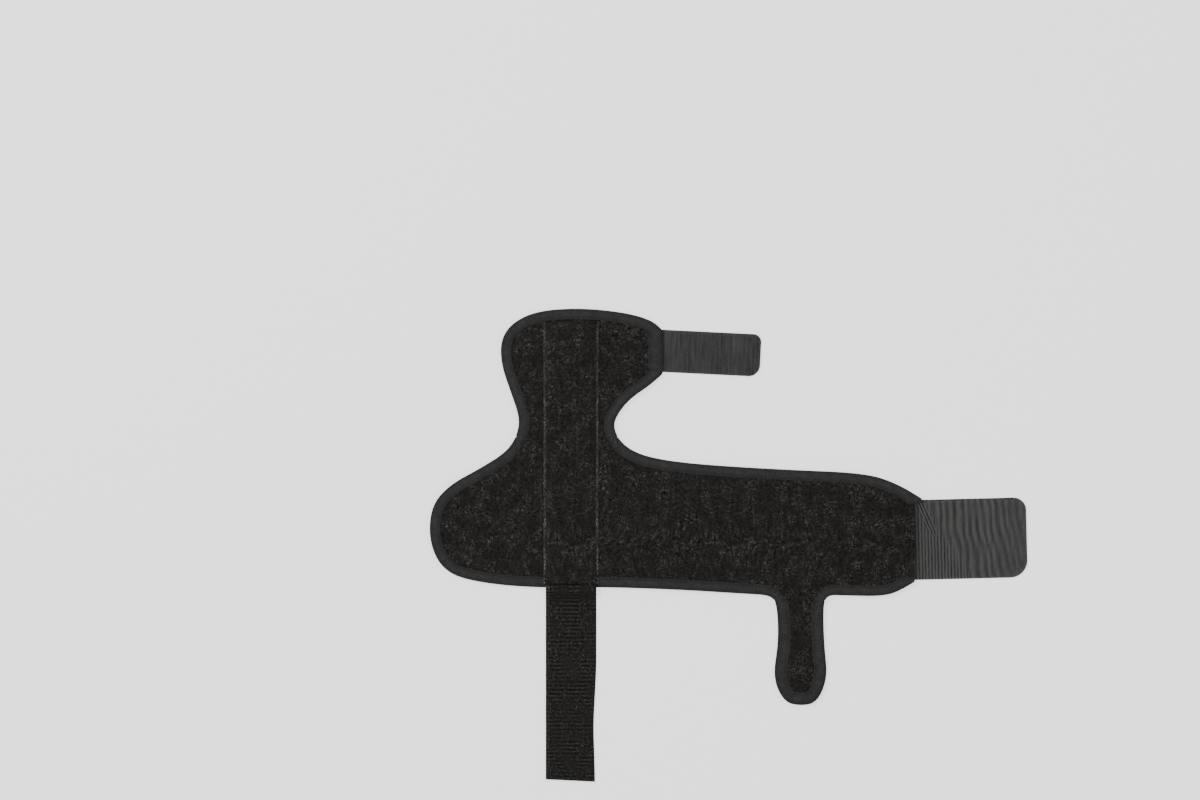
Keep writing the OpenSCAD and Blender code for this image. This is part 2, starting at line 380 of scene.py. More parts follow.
def swept(name, rings, along, around):
    """A closed tube through rings of points. along and around give the UV map in millimetres."""
    points = [p for ring in rings for p in ring]
    uvs = [(s, t) for s in along for t in around]
    faces = [face[::-1] for face in tube_faces(0, len(rings), len(rings[0]))]
    return new_piece(name, points, faces, uvs)


def circle(centre, across, up, radius, sides):
    """Points of a circle round a centre, in the plane of two directions."""
    turns = [2 * math.pi * k / sides for k in range(sides)]
    return [centre + (across * math.cos(turn) + up * math.sin(turn)) * radius for turn in turns]


def grid_sheet(name, across, along, upper, lower, uv=None):
    """A closed sheet over a grid. upper(u, v) and lower(u, v) give the (x, y, z) of its two faces."""
    columns, rows = len(across), len(along)
    points = [upper(u, v) for v in along for u in across] + [lower(u, v) for v in along for u in across]
    uvs = [uv(u, v) if uv else (u, v) for v in along for u in across] * 2
    half = columns * rows
    faces = []
    for r in range(rows - 1):
        for c in range(columns - 1):
            a = r * columns + c
            b, d, e = a + 1, a + columns, a + columns + 1
            faces.append((a, b, e, d))
            faces.append((half + a, half + d, half + e, half + b))
    rim = list(range(columns))
    rim += [r * columns + columns - 1 for r in range(1, rows)]
    rim += [(rows - 1) * columns + c for c in range(columns - 2, -1, -1)]
    rim += [r * columns for r in range(rows - 2, 0, -1)]
    for a, b in zip(rim, rim[1:] + rim[:1]):
        faces.append((a, half + a, half + b, b))
    return new_piece(name, points, faces, uvs)


THREAD_R = 0.27
THREAD_SIDES = 6
# Along a stitch: share of its length, share of its radius, and how deep it has sunk
STITCH_RINGS = [(-0.5, 0.35, 0.30), (-0.36, 0.9, 0.10), (0, 1.0, 0.0), (0.36, 0.9, 0.10), (0.5, 0.35, 0.30)]


def stitch_row(name, places, length):
    """Short raised stitches. places holds (point, direction along the row, direction out of the cloth)."""
    points, faces, uvs = [], [], []
    for middle, along, out in places:
        side = along.cross(out)
        start = len(points)
        for share, radius, sunk in STITCH_RINGS:
            centre = middle + along * (share * length) - out * sunk
            points.extend(circle(centre, side, out, THREAD_R * radius, THREAD_SIDES))
            uvs.extend((share * length, 2 * math.pi * k / THREAD_SIDES) for k in range(THREAD_SIDES))
        faces.extend(tube_faces(start, len(STITCH_RINGS), THREAD_SIDES))
    return new_piece(name, points, faces, uvs)


# ---- materials


def material(name, roughness, sheen=0.0, specular=0.3):
    made = bpy.data.materials.new(name)
    made.use_nodes = True
    shader = made.node_tree.nodes["Principled BSDF"]
    shader.inputs["Roughness"].default_value = roughness
    shader.inputs["Sheen Weight"].default_value = sheen
    shader.inputs["Sheen Roughness"].default_value = 0.5
    shader.inputs["Specular IOR Level"].default_value = specular
    return made, made.node_tree, shader


def add(tree, kind, inputs=None, **settings):
    node = tree.nodes.new(kind)
    for key, value in settings.items():
        setattr(node, key, value)
    for key, value in (inputs or {}).items():
        if isinstance(value, bpy.types.NodeSocket):
            tree.links.new(value, node.inputs[key])
        else:
            node.inputs[key].default_value = value
    return node


def rest_uv(tree, stretch=(1, 1, 1)):
    uv = add(tree, "ShaderNodeUVMap", uv_map="rest")
    return add(tree, "ShaderNodeMapping", {"Vector": uv.outputs[0], "Scale": stretch}).outputs[0]


def noise_of(tree, vector, scale, detail=2.0, rough=0.5, swirl=0.0):
    return add(tree, "ShaderNodeTexNoise", {"Vector": vector, "Scale": scale, "Detail": detail,
                                            "Roughness": rough, "Distortion": swirl}).outputs[0]


def waves_of(tree, vector, scale, distortion, detail, direction="X", **inputs):
    return add(tree, "ShaderNodeTexWave", {"Vector": vector, "Scale": scale, "Distortion": distortion,
                                           "Detail": detail, **inputs},
               wave_type="BANDS", bands_direction=direction).outputs[1]


def bands_of(tree, vector, pitch, distortion):
    """Light and dark bands, pitch millimetres from one to the next."""
    scale = 2 * math.pi / (20 * pitch / UV_CELL)
    return waves_of(tree, vector, scale, distortion, 2.0, **{"Detail Scale": 1.5})


def grey(value, warm=0.0):
    return (value * (1 + warm), value, value * (1 - warm), 1)


def ramp_of(tree, value, *stops, warm=0.0):
    """Ramp through greys; each stop is (position, grey value)."""
    node = add(tree, "ShaderNodeValToRGB", {"Fac": value})
    ramp = node.color_ramp
    while len(ramp.elements) < len(stops):
        ramp.elements.new(0.5)
    for element, (position, tone) in zip(ramp.elements, stops):
        element.position = position
        element.color = grey(tone, warm)
    return node.outputs[0]


def mixed(tree, share, a, b, blend="MIX"):
    return add(tree, "ShaderNodeMix", {0: share, 6: a, 7: b}, data_type="RGBA", blend_type=blend).outputs[2]


def scaled(tree, colour, factor):
    """Colour times a ramp's greys."""
    return mixed(tree, 1.0, colour, factor, "MULTIPLY")


def maths(tree, operation, a, b):
    return add(tree, "ShaderNodeMath", {0: a, 1: b}, operation=operation).outputs[0]


def product(tree, a, b):
    return maths(tree, "MULTIPLY", a, b)


def total(tree, a, b):
    return maths(tree, "ADD", a, b)


def swing(tree, pattern, strength):
    """A pattern taken about its middle, so that it darkens as much as it lightens."""
    return product(tree, maths(tree, "SUBTRACT", pattern, 0.5), strength)


def finished(tree, shader, colour, height, distance, strength):
    """Colour and fine relief of a surface."""
    tree.links.new(colour, shader.inputs["Base Color"])
    bump = add(tree, "ShaderNodeBump", {"Height": height, "Distance": distance, "Strength": strength})
    tree.links.new(bump.outputs[0], shader.inputs["Normal"])


def across_tape(tree, uv, span):
    """Place across a tape, where its UV map's second value runs across, as a share of a span."""
    second = add(tree, "ShaderNodeSeparateXYZ", {"Vector": uv}).outputs[1]
    return product(tree, second, UV_CELL / span)


def pile_material(name, dark, light, warm):
    """Brushed pile: curled fibres in clumps, with paler flecks and painted shade in the pits between them,
    in drifts.
    """
    made, tree, shader = material(name, 0.95, sheen=0.12, specular=0.06)
    uv = rest_uv(tree)
    clumps = noise_of(tree, uv, 5.2, 4, 0.72, swirl=0.9)
    drift = noise_of(tree, uv, 0.9, 3, 0.6)
    flecks = noise_of(tree, rest_uv(tree, (1, 1.15, 1)), 5.2, 3, 0.7, swirl=1.6)
    pits = noise_of(tree, rest_uv(tree, (1.15, 1, 1)), 4.6, 3, 0.65, swirl=1.2)
    middle = (dark + light) / 2
    colour = ramp_of(tree, clumps, (0.38, dark * 0.6), (0.5, middle), (0.62, light * 1.25), warm=warm)
    colour = scaled(tree, colour, ramp_of(tree, drift, (0.3, 0.8), (0.7, 1.25)))
    in_drift = ramp_of(tree, drift, (0.44, 0.12), (0.60, 1))
    fleck_share = product(tree, ramp_of(tree, flecks, (0.53, 0), (0.62, 1)), in_drift)
    # Dark pits between the clumps: painted shade.
    pit_shade_share = product(tree, ramp_of(tree, pits, (0.40, 1), (0.48, 0)), in_drift)
    colour = mixed(tree, fleck_share, colour, grey(light * 4.9, warm))
    colour = mixed(tree, pit_shade_share, colour, grey(dark * 0.2, warm))
    height = total(tree, clumps, maths(tree, "SUBTRACT", flecks, pit_shade_share))
    finished(tree, shader, colour, height, 0.0006, 0.8)
    return made


# Tone along the binding's section, from its inner edge over the face to the fold: (millimetres, tone). Its
# dips to 0.6 and 0.5 paint shade into the stitch groove and down the outer fold.
BINDING_TONES_AND_SHADE = [(0.0, 1.15), (0.7, 1.15), (1.5, 0.6), (2.3, 0.98), (4.5, 1.12), (6.6, 0.92), (8.2, 0.5),
                 (12.0, 0.7), (16.0, 1.0)]
TONE_SPAN = 40.0  # millimetres across a tape that its tone ramp covers


def binding_material(name, dark, light):
    """Fine ribbed tape. Ribs run across it, and painted shade darkens its folds and stitch groove."""
    made, tree, shader = material(name, 0.8, sheen=0.2, specular=0.12)
    uv = rest_uv(tree)
    ribs = waves_of(tree, uv, 2.6, 1.2, 2.0)
    patches = noise_of(tree, uv, 1.3, 3, 0.65)
    fuzz = noise_of(tree, uv, 9.0, 2, 0.6)
    colour = ramp_of(tree, patches, (0.3, dark), (0.52, (dark + light) / 2), (0.74, light))
    tones = [(at / TONE_SPAN, value) for at, value in BINDING_TONES_AND_SHADE]
    # Painted shade: this ramp darkens the stitch groove and the outer fold of the tape.
    colour = scaled(tree, colour, ramp_of(tree, across_tape(tree, uv, TONE_SPAN), *tones))
    colour = scaled(tree, colour, ramp_of(tree, fuzz, (0.35, 0.7), (0.65, 1.3)))
    colour = mixed(tree, product(tree, ribs, 0.22), colour, grey(light * 1.5))
    finished(tree, shader, colour, total(tree, ribs, total(tree, patches, fuzz)), 0.00025, 0.7)
    return made


def webbing_material(name, groove, crest, warm):
    """Ribbed webbing: the colour follows the ribs of the mesh, with painted shade in the grooves between
    them, and fine warp threads cross them.
    """
    made, tree, shader = material(name, 0.7, sheen=0.05, specular=0.12)
    uv = rest_uv(tree)
    ribs = bands_of(tree, uv, RIB_PITCH, 0.7)
    warp = waves_of(tree, uv, 3.6, 1.0, 1.0, "Y")
    wear_and_groove_shade = noise_of(tree, uv, 0.8, 2, 0.5)
    specks = noise_of(tree, rest_uv(tree, (1.4, 1, 1)), 6.5, 3, 0.65, swirl=0.8)
    crisp = ramp_of(tree, wear_and_groove_shade, (0.44, 0.08), (0.58, 1.1))
    clusters = ramp_of(tree, noise_of(tree, rest_uv(tree, (0.6, 1, 1)), 0.9, 2, 0.5), (0.42, 0.3), (0.56, 1))
    # The ribs swing the colour from painted shade in the grooves to the crests. The wear mask sets how
    # strong that swing is.
    share = total(tree, total(tree, swing(tree, ribs, crisp), 0.36), product(tree, warp, 0.15))
    colour = ramp_of(tree, share, (0.05, groove), (0.5, (groove + crest) / 2), (0.95, crest), warm=warm)
    speck_share = product(tree, clusters, ramp_of(tree, specks, (0.56, 0), (0.66, 1)))
    colour = mixed(tree, speck_share, colour, grey(crest * 2.4, warm))
    # Dark pits in the clusters: painted shade.
    pit_shade_share = product(tree, clusters, ramp_of(tree, specks, (0.40, 1), (0.48, 0)))
    colour = mixed(tree, pit_shade_share, colour, grey(groove * 0.3))
    edge = SELVEDGE / TONE_SPAN
    selvedge = ramp_of(tree, across_tape(tree, uv, TONE_SPAN), (0.0, 1.45), (edge, 1.3), (edge + 0.02, 1))
    finished(tree, shader, scaled(tree, colour, selvedge), total(tree, warp, specks), 0.0002, 0.7)
    return made


# The creases and the narrow bands are painted light and shade of the wrist tab's ripples.
CREASE_PITCH = 2.2  # creases that run out from the upper corner of the wrist tab's root
CREASE_TURN = -22.2  # degrees
FINE_PITCH = 2.4  # narrow bands near the root
HOOK_WARM = 0.015
TONE_LAYERS = ("tone", "fine", "crease_light_and_shade")  # names of the point attributes


def hook_material(name, dark, light):
    """Hook tape: broad bands held in the attribute tone, narrow bands, creases, streaks and a fine grain.
    The bands and creases are painted light and shade of the tape's ripples and leaning hooks.
    """
    made, tree, shader = material(name, 0.6, sheen=0.05, specular=0.15)
    uv = rest_uv(tree)
    share, fine, crease_light_and_shade = (add(tree, "ShaderNodeAttribute", attribute_name=layer).outputs["Fac"]
                           for layer in TONE_LAYERS)
    turn = (0, 0, math.radians(CREASE_TURN))
    turned = add(tree, "ShaderNodeMapping", {"Vector": uv, "Rotation": turn}).outputs[0]
    for strength, pattern in ((fine, bands_of(tree, uv, FINE_PITCH, 1.2)),
                              (crease_light_and_shade, bands_of(tree, turned, CREASE_PITCH, 0.6)),
                              (0.7, noise_of(tree, rest_uv(tree, (3.0, 0.5, 1)), 1.3, 3, 0.65)),
                              (0.5, noise_of(tree, uv, 7.0, 2, 0.6))):
        share = total(tree, share, swing(tree, pattern, strength))
    colour = ramp_of(tree, share, (0.0, dark), (1.0, light), warm=HOOK_WARM)
    finished(tree, shader, colour, noise_of(tree, uv, 14.0, 2, 0.6), 0.0002, 0.6)
    return made


def plain_material(name, value, roughness, metallic=0.0, grain=None, specular=0.3):
    """Moulded or rolled stock with a fine grain, which runs lengthwise unless it has a scale of its own."""
    made, tree, shader = material(name, roughness, specular=specular)
    shader.inputs["Metallic"].default_value = metallic
    scale = (grain, grain, grain) if grain else (4, 60, 1)
    spot = add(tree, "ShaderNodeTexCoord")
    vector = add(tree, "ShaderNodeMapping", {"Vector": spot.outputs["Object"], "Scale": scale}).outputs[0]
    lines = noise_of(tree, vector, 30.0, 3, 0.6)
    colour = ramp_of(tree, lines, (0.3, value * 0.85), (0.7, value * 1.1))
    finished(tree, shader, colour, lines, 0.00005, 0.5)
    return made


MATERIAL = {name: build(name, *values) for name, build, *values in (
    ("brushed_lining", pile_material, 0.011, 0.024, 0.08),
    ("pocket_cloth", pile_material, 0.011, 0.024, 0.06),
    ("loop_cloth", pile_material, 0.016, 0.034, 0.02),
    ("neoprene_foam", plain_material, 0.015, 0.9, 0.0, 20, 0.1),
    ("edge_binding", binding_material, 0.022, 0.043),
    ("strap_webbing", webbing_material, 0.0045, 0.0335, 0.06),
    ("sleeve_cloth", pile_material, 0.018, 0.03, 0.0),
    # The hem is the pocket cloth made lighter: a painted highlight along its fold.
    ("pocket_hem", pile_material, 0.028, 0.058, 0.0),
    ("thread", plain_material, 0.05, 0.6, 0.0, 60),
    ("hook_tape", hook_material, 0.012, 0.115),
    ("hook_rows", hook_material, 0.016, 0.135),
    ("splint_metal", plain_material, 0.62, 0.32, 1.0),
    ("splint_cap", plain_material, 0.03, 0.5, 0.0, 20),
)}


def attach(piece, body, slot, replaced=(), finish=None):
    """Gives the piece its material and slot, and rides it on its body, or, for a body in SOFT_LENGTH, bakes
    its place into its mesh and leaves it without a parent.
    """
    piece.data.materials.append(MATERIAL[finish or slot])
    if replaced:
        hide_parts(*replaced)
    if body in SOFT_LENGTH:
        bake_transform(piece)
    else:
        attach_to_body(piece, body)
    return piece


frame["nodes"]["splint_stay"].material_slots[0].material = MATERIAL["splint_metal"]
for cap in ("splint_cap_lower", "splint_cap_upper"):
    frame["nodes"][cap].material_slots[0].material = MATERIAL["splint_cap"]


# ---- panel

# Section of the binding: (distance in from the outer edge, height)
TAPE_FACE = [(7.8, 4.32), (7.86, 4.72), (7.6, 4.9), (7.0, 4.84), (6.4, 4.6), (5.7, 4.84),
             (4.6, 5.0), (3.2, 5.0), (2.0, 4.82), (1.1, 4.4), (0.4, 3.6), (0.0, 2.5)]
TAPE_UNDER = [(0.35, 1.35), (0.95, 0.6), (1.8, 0.15), (3.0, 0.0), (4.6, 0.0), (5.7, 0.1),
              (6.4, 0.3), (7.0, 0.12), (7.6, 0.06), (7.84, 0.22), (7.8, 0.62)]
TAPE_INSIDE = [(6.4, 0.95), (3.0, 0.65), (1.4, 1.2), (0.8, 2.5), (1.4, 3.75), (3.0, 4.35), (6.4, 4.0)]
TAPE_SECTION = TAPE_FACE + TAPE_UNDER + TAPE_INSIDE
TAPE_MIDDLE = 2.5  # height of the fold
SECTION_WIDTH = 7.0  # binding width that the section is drawn for
RING_STEP = 0.8
STITCH_PITCH = 3.2
STITCH_LENGTH = 2.3
SEAM_IN = 6.4  # where the stitches run, in from the outer edge
STITCH_TOP = 4.66
STITCH_UNDER = 0.34
PULL_TOP = 0.12  # how far each stitch pulls the tape's face in, and its table side
PULL_UNDER = 0.08
PULL_REACH = 0.8
TAPE_UNEVEN = 0.13
POCKET_LIFT = 0.75  # how much higher the top binding is where it passes over the pocket's end
POCKET_END = 12  # the binding that does so lies above this far below the pocket's end
TONGUE_WIDER = 1.2  # the tape is wider round the tongue, and gets so over this length
TONGUE_EASE = 8.0
ROOT_WIDER = 1.42  # and wider where the hand tab is sewn in
TIP_TURN = -0.5  # cosine of the turn that makes a pointed end
TIP_BACK = 14.0  # longest way back from one


def matched(outer, seam):
    """For each outer point its mate on the seam: the nearest one, in order, with the ends paired."""
    fine = resampled(seam, 0.25)
    tree = tree_of(fine)
    places = np.array([tree.find((x, y, 0))[1] for x, y in outer], float)
    places[0], places[-1] = 0, len(fine) - 1
    places = eased(np.minimum(np.maximum.accumulate(places), len(fine) - 1), 4)
    low = np.floor(places).astype(int)
    high = np.minimum(low + 1, len(fine) - 1)
    share = (places - low)[:, None]
    return fine[low] * (1 - share) + fine[high] * share


def over_pocket(x, y):
    """1 where the top binding crosses the pocket's closed end."""
    if y < POCKET_HIGH[1] - POCKET_END:
        return 0.0
    return 1 - smooth(abs(x - POCKET_X), POCKET_HALF - 1, POCKET_HALF + 2)


def up_to_tip(line):
    """Drops the short way back where a line of evenly spaced points turns sharply round a pointed end."""
    ahead = line[2:] - line[:-2]
    ahead /= np.linalg.norm(ahead, axis=1)[:, None]
    turns = (ahead[2:] * ahead[:-2]).sum(1)
    count = int(TIP_BACK / RING_STEP)
    first, last = turns[:count], turns[-count:]
    if first.min() < TIP_TURN:
        line = line[int(first.argmin()) + 2:]
    if last.min() < TIP_TURN:
        line = line[:len(line) - count + int(last.argmin()) - 1]
    return line


def binding_lines(body):
    """Outer points, seam points and lengths along, for each stretch of a slice's binding."""
    found = []
    for outer, seam in RUNS[body]:
        outer = eased(up_to_tip(resampled(outer, RING_STEP)), 8)
        mates = eased(matched(outer, seam), 4)
        found.append((outer, mates, line_lengths(outer)))
    return found


def wider_at(body, place, from_end):
    """How many times wider than elsewhere the tape is at a place on its outer edge."""
    if body == "tongue":
        return 1 + (TONGUE_WIDER - 1) * smooth(from_end, 0, TONGUE_EASE)
    low, high = TAB_ROOT["hand_tab"]
    if body != "core" or place[0] < low[0]:
        return 1.0
    beside = max(low[1] - place[1], place[1] - high[1], 0)
    return 1 + (ROOT_WIDER - 1) * (1 - smooth(beside, -1, 7))


def binding_ring(body, p, q, station, from_end):
    """One section of the tape, from outer edge point p in to its mate q on the seam."""
    inward = (q - p) / max(np.linalg.norm(q - p), 1e-6)
    scale = np.linalg.norm(q - p) / SECTION_WIDTH * wider_at(body, p, from_end)
    pull = math.cos(2 * math.pi * station / STITCH_PITCH)
    uneven = swell(p[0], p[1], 9, 5) + 0.6 * swell(p[0], p[1], 4, 6)
    slack = 0.3 * swell(p[0], p[1], 5, 9) + 0.22 * swell(p[0], p[1], 1.9, 10)
    ring = []
    for k, (d, z) in enumerate(TAPE_SECTION):
        x, y = p + inward * ((d + slack * smooth(d, 5.0, 7.4)) * scale)
        near_seam = math.exp(-((d - SEAM_IN) / PULL_REACH) ** 2)
        if k < len(TAPE_FACE):
            z += PULL_TOP * pull * near_seam + TAPE_UNEVEN * uneven
        elif k < len(TAPE_FACE + TAPE_UNDER):
            z += PULL_UNDER * (1 - pull) * near_seam
        upper = k < len(TAPE_FACE) or k >= len(TAPE_FACE + TAPE_UNDER) and z >= TAPE_MIDDLE
        z += POCKET_LIFT * over_pocket(x, y) if upper else TAPE_LIFT * sewn_under(x, y)
        ring.append((x, y, z))
    return ring


def binding_stitches(line, along):
    """Places of the stitches on both faces of the tape, along a line inside its outer edge."""
    top, under = [], []
    for j in range(int(along[-1] / STITCH_PITCH)):
        station = (j + 0.5) * STITCH_PITCH
        before, (x, y), after = ([np.interp(station + shift, along, line[:, k]) for k in range(2)]
                                 for shift in (-0.6, 0, 0.6))
        ahead = Vector((after[0] - before[0], after[1] - before[1], 0)).normalized()
        top.append((Vector((x, y, STITCH_TOP + POCKET_LIFT * over_pocket(x, y))), ahead, UP))
        under.append((Vector((x, y, STITCH_UNDER + TAPE_LIFT * sewn_under(x, y))), ahead, -UP))
    return top, under


def add_binding(body):
    points, faces, uvs = [], [], []
    places_top, places_under = [], []
    around = line_lengths(TAPE_SECTION)
    for outer, mates, along in binding_lines(body):
        start = len(points)
        for p, q, station in zip(outer, mates, along):
            points.extend(binding_ring(body, p, q, station, min(station, along[-1] - station)))
        uvs.extend((station, t) for station in along for t in around)
        faces.extend(tube_faces(start, len(along), len(TAPE_SECTION)))
        top, under = binding_stitches(outer + (mates - outer) * (SEAM_IN / SECTION_WIDTH), along)
        places_top += top
        places_under += under
    tape = new_piece(f"{body}_binding_tape", points, faces, uvs)
    attach(tape, body, "edge_binding", [f"{body}_binding"])
    thread = stitch_row(f"{body}_binding_thread", places_top + places_under, STITCH_LENGTH)
    attach(thread, body, "edge_binding")


CLOTH_STEP = 1.7
FOAM_STEP = 6.0
EDGE_STEP = 1.2
FOAM_EDGE_STEP = 3.0


def add_slice(body):
    field = top_loops(f"{body}_lining")
    lining = cloth_sheet(f"{body}_lining_cloth", field, CLOTH_STEP, EDGE_STEP, lining_top, lining_under)
    attach(lining, body, "brushed_lining", [f"{body}_lining"])
    foam = cloth_sheet(f"{body}_foam_core", top_loops(f"{body}_foam"), FOAM_STEP, FOAM_EDGE_STEP,
                       foam_top, foam_under)
    attach(foam, body, "neoprene_foam", [f"{body}_foam"])
    loop_cloth = cloth_sheet(f"{body}_loop_cloth", field, CLOTH_STEP, EDGE_STEP, loop_top, loop_under)
    attach(loop_cloth, body, "loop_cloth", [f"{body}_loop_face"])
    add_binding(body)


for slice_name in SLICES:
    add_slice(slice_name)

# ---- splint pocket

SLEEVE_LOW, SLEEVE_HIGH = box_mm("splint_sleeve")
HEM = 1.8  # width of the folded edge that is sewn down
POCKET_T = 0.8
POCKET_TUCK = 3.4  # how far the pocket's closed end runs on under the top binding
POCKET_RISE = 3.9  # height of its cloth over the panel, which lets the splint's sleeve through
UNDER_TAPE = 4.6  # height of its cloth where it goes under the top binding
POCKET_STEP = 1.5
HEM_TOP = 0.85  # height of the pocket's face over the panel beside its hem
MOUTH_WAVE = 0.5
SKIN_GAP = 0.05  # how far faces that touch are kept from lying in one plane


def pocket_rise(y):
    return POCKET_RISE * (1 - smooth(y, SLEEVE_HIGH[1] - 1, POCKET_HIGH[1] + 1.5))


def tucked(y):
    """0 along the pocket, easing to 1 where its closed end goes under the top binding."""
    return smooth(y, POCKET_HIGH[1] - 5, POCKET_HIGH[1] + 1)


def pocket_top(across, y):
    """Height of the pocket's cloth, across from its centre line."""
    inside_hem = POCKET_HALF - HEM
    share = min(1.0, abs(across) / inside_hem)
    dome = (1 - share ** 7) ** 0.8
    rise = pocket_rise(y)
    pucker = 0.13 * swell(across * 0.4, y, 3.4, 7) * share ** 3 + 0.14 * swell(across, y, 21, 8)
    free = PANEL_TOP + HEM_TOP + (rise - POCKET_LIFT) * dome + pucker * min(1, rise)
    return free + (UNDER_TAPE - free) * tucked(y)


def add_pocket():
    inside_hem = POCKET_HALF - HEM * 0.5
    share = np.linspace(-1, 1, 45)
    across = np.sign(share) * inside_hem * (1 - (1 - np.abs(share)) ** 1.5)
    along = np.arange(POCKET_LOW[1], POCKET_HIGH[1] + POCKET_TUCK, POCKET_STEP)

    def upper(u, v):
        mouth_wave = MOUTH_WAVE * swell(u, 0, 9, 12) if v == along[0] else 0
        return POCKET_X + u, v + mouth_wave, pocket_top(u, v)

    def lower(u, v):
        x, y, z = upper(u, v)
        return x, y, max(z - POCKET_T, lining_top(x, y) - SKIN_GAP)

    cloth = grid_sheet("splint_pocket_cloth", across, along, upper, lower)
    attach(cloth, "core", "pocket_cloth", ["splint_pocket"])
    sewn_down = [*add_pocket_hem("splint_pocket_hem_left", -1),
                 *add_pocket_hem("splint_pocket_hem_right", 1)]


# Section of the folded edge, from the side away from the pocket: (distance out of its middle, height)
HEM_SECTION = [(0.95, 0.0), (1.02, 0.5), (0.8, 0.98), (0.3, 1.22), (-0.3, 1.25), (-0.8, 1.1), (-0.96, 0.6),
               (-0.93, 0.0)]


def add_pocket_hem(name, side):
    """A folded edge and its stitches. side is -1 or 1, left or right."""
    middle = POCKET_X + side * (POCKET_HALF - HEM / 2)

    def hem_x(y):
        return middle + 0.25 * swell(side * 40, y, 11, 14) + 0.18 * swell(side * 40, y, 3, 15)

    along = np.arange(POCKET_LOW[1] - 0.3, POCKET_HIGH[1] + POCKET_TUCK, 0.6)
    rings = []
    for y in along:
        x = hem_x(y)
        pinch = 0.12 * math.cos(2 * math.pi * y / STITCH_PITCH)
        base = lining_top(x, y) - 0.1 - 0.5 * tucked(y)
        height = (1 - pinch) * (1 - 0.65 * tucked(y))
        ring = [(x + side * out, y, base + up * height) for out, up in HEM_SECTION]
        rings.append(ring if side < 0 else ring[::-1])
    around = line_lengths(HEM_SECTION)
    hem = swept(name, rings, along, around if side < 0 else around[::-1])
    # Its finish is the pocket cloth made lighter: a painted highlight along the fold.
    attach(hem, "core", "pocket_cloth", finish="pocket_hem")
    places = []
    for y in np.arange(POCKET_LOW[1] + 1.5, POCKET_HIGH[1] - 2, STITCH_PITCH):
        x = hem_x(y)
        top = lining_top(x, y) + 1.0 - 0.8 * tucked(y)
        places.append((Vector((x, y, top)), Vector((0, 1, 0)), UP))
    thread = stitch_row(f"{name}_thread", places, STITCH_LENGTH)
    return hem, attach(thread, "core", "pocket_cloth", finish="thread")


SLEEVE_T = 0.3
SLEEVE_HALF = (SLEEVE_HIGH[0] - SLEEVE_LOW[0]) / 2
SLEEVE_MIDDLE = (SLEEVE_LOW[2] + SLEEVE_HIGH[2]) / 2
SPLINT_LOW = box_mm("splint_cap_lower")[0][1]
END_GAP = 0.02  # between the splint's end and the inner skin, and that skin's least half thickness
FINE_END = 14  # length of the round end, where the mesh is finer


def round_end(reach, depth):
    """Half the width of a round end, at a depth in from its tip."""
    return math.sqrt(max(reach ** 2 - (reach - depth) ** 2, 0.04))


def sleeve_skin(name, low, inset):
    """One skin of the bag. The inner one has two round ends; the outer one runs on into the flat tail."""
    inner = inset > 0
    reach = SLEEVE_HALF - inset
    high = SLEEVE_HIGH[1] - inset
    along = np.concatenate([np.arange(low, high - FINE_END, 2.2),
                            high - FINE_END * (1 - np.linspace(0, 1, 9)) ** 1.6])

    def width_at(y):
        width = round_end(reach, min(reach, high - y))
        if inner and y < SPLINT_LOW - SLEEVE_T + SLEEVE_HALF:
            width = min(width, round_end(reach, y - low))
        return width

    def section(u, y):
        """(height of the middle, half the thickness)"""
        thick = (SLEEVE_HIGH[2] - SLEEVE_MIDDLE - inset) * (1 - abs(u) ** 8) ** 0.5
        if inner:
            return SLEEVE_MIDDLE, max(thick, END_GAP)
        tail = 1 - smooth(y, SPLINT_LOW - 3, SPLINT_LOW + 1)
        centre = SLEEVE_MIDDLE * (1 - tail) + (SLEEVE_LOW[2] + SLEEVE_T) * tail
        return centre, max(thick, SLEEVE_T * 0.9) * (1 - tail) + SLEEVE_T * tail

    def face(sign):
        def place(u, y):
            centre, thick = section(u, y)
            return POCKET_X + u * width_at(y), y, centre + sign * thick
        return place

    return grid_sheet(name, np.linspace(-1, 1, 23), along, face(1), face(-1),
                      uv=lambda u, y: (u * SLEEVE_HALF, y))


def add_sleeve():
    """Cloth bag sewn shut round the splint: an outer and an inner skin."""
    outer = sleeve_skin("splint_sleeve_outer", SLEEVE_LOW[1], 0.0)
    inner = sleeve_skin("splint_sleeve_inner", SPLINT_LOW - END_GAP, SLEEVE_T)
    inner.data.flip_normals()
    sleeve = join("splint_sleeve_cloth", outer, inner)
    attach(sleeve, "splint", "sleeve_cloth", ["splint_sleeve"])


def join(name, *pieces):
    """One piece out of several, keeping their UV maps."""
    first = pieces[0]
    with bpy.context.temp_override(active_object=first, selected_editable_objects=list(pieces)):
        bpy.ops.object.join()
    first.name = first.data.name = name
    return first


# ---- webbing strap

RIB_HEIGHT = 0.22
SELVEDGE_RIGHT = 1.2
STRAP_LOW, STRAP_HIGH = box_mm("webbing_strap")
STRAP_WIDTH = 38
STRAP_T = STRAP_HIGH[2]
ANCHOR_HIGH = box_mm("strap_anchor")[1]
DESCENT = (-33.4, -42.0)  # the webbing goes down off the panel's edge between these
WAIST = STRAP_LOW[1] + 40  # the free length has a slight waist here
WAIST_REACH = 53
WAIST_IN = 2.0  # how much narrower the webbing is at its waist
END_OUT = 0.9  # and how much of that it regains at its cut end
CUT_SLANT = 1.8
EDGE_SAG = 0.55  # how far its edges hang where it lies over the panel's edge
SEAL = 0.12  # the cut end is sealed by heat, and a little thicker


def strap_edges(y):
    """Left and right edge of the webbing."""
    narrow = WAIST_IN * smooth(y, WAIST + WAIST_REACH, WAIST) - END_OUT * smooth(y, WAIST, STRAP_LOW[1])
    return STRAP_LOW[0] + 0.05 * swell(0, y, 13, 21), STRAP_HIGH[0] - narrow + 0.05 * swell(5, y, 13, 22)


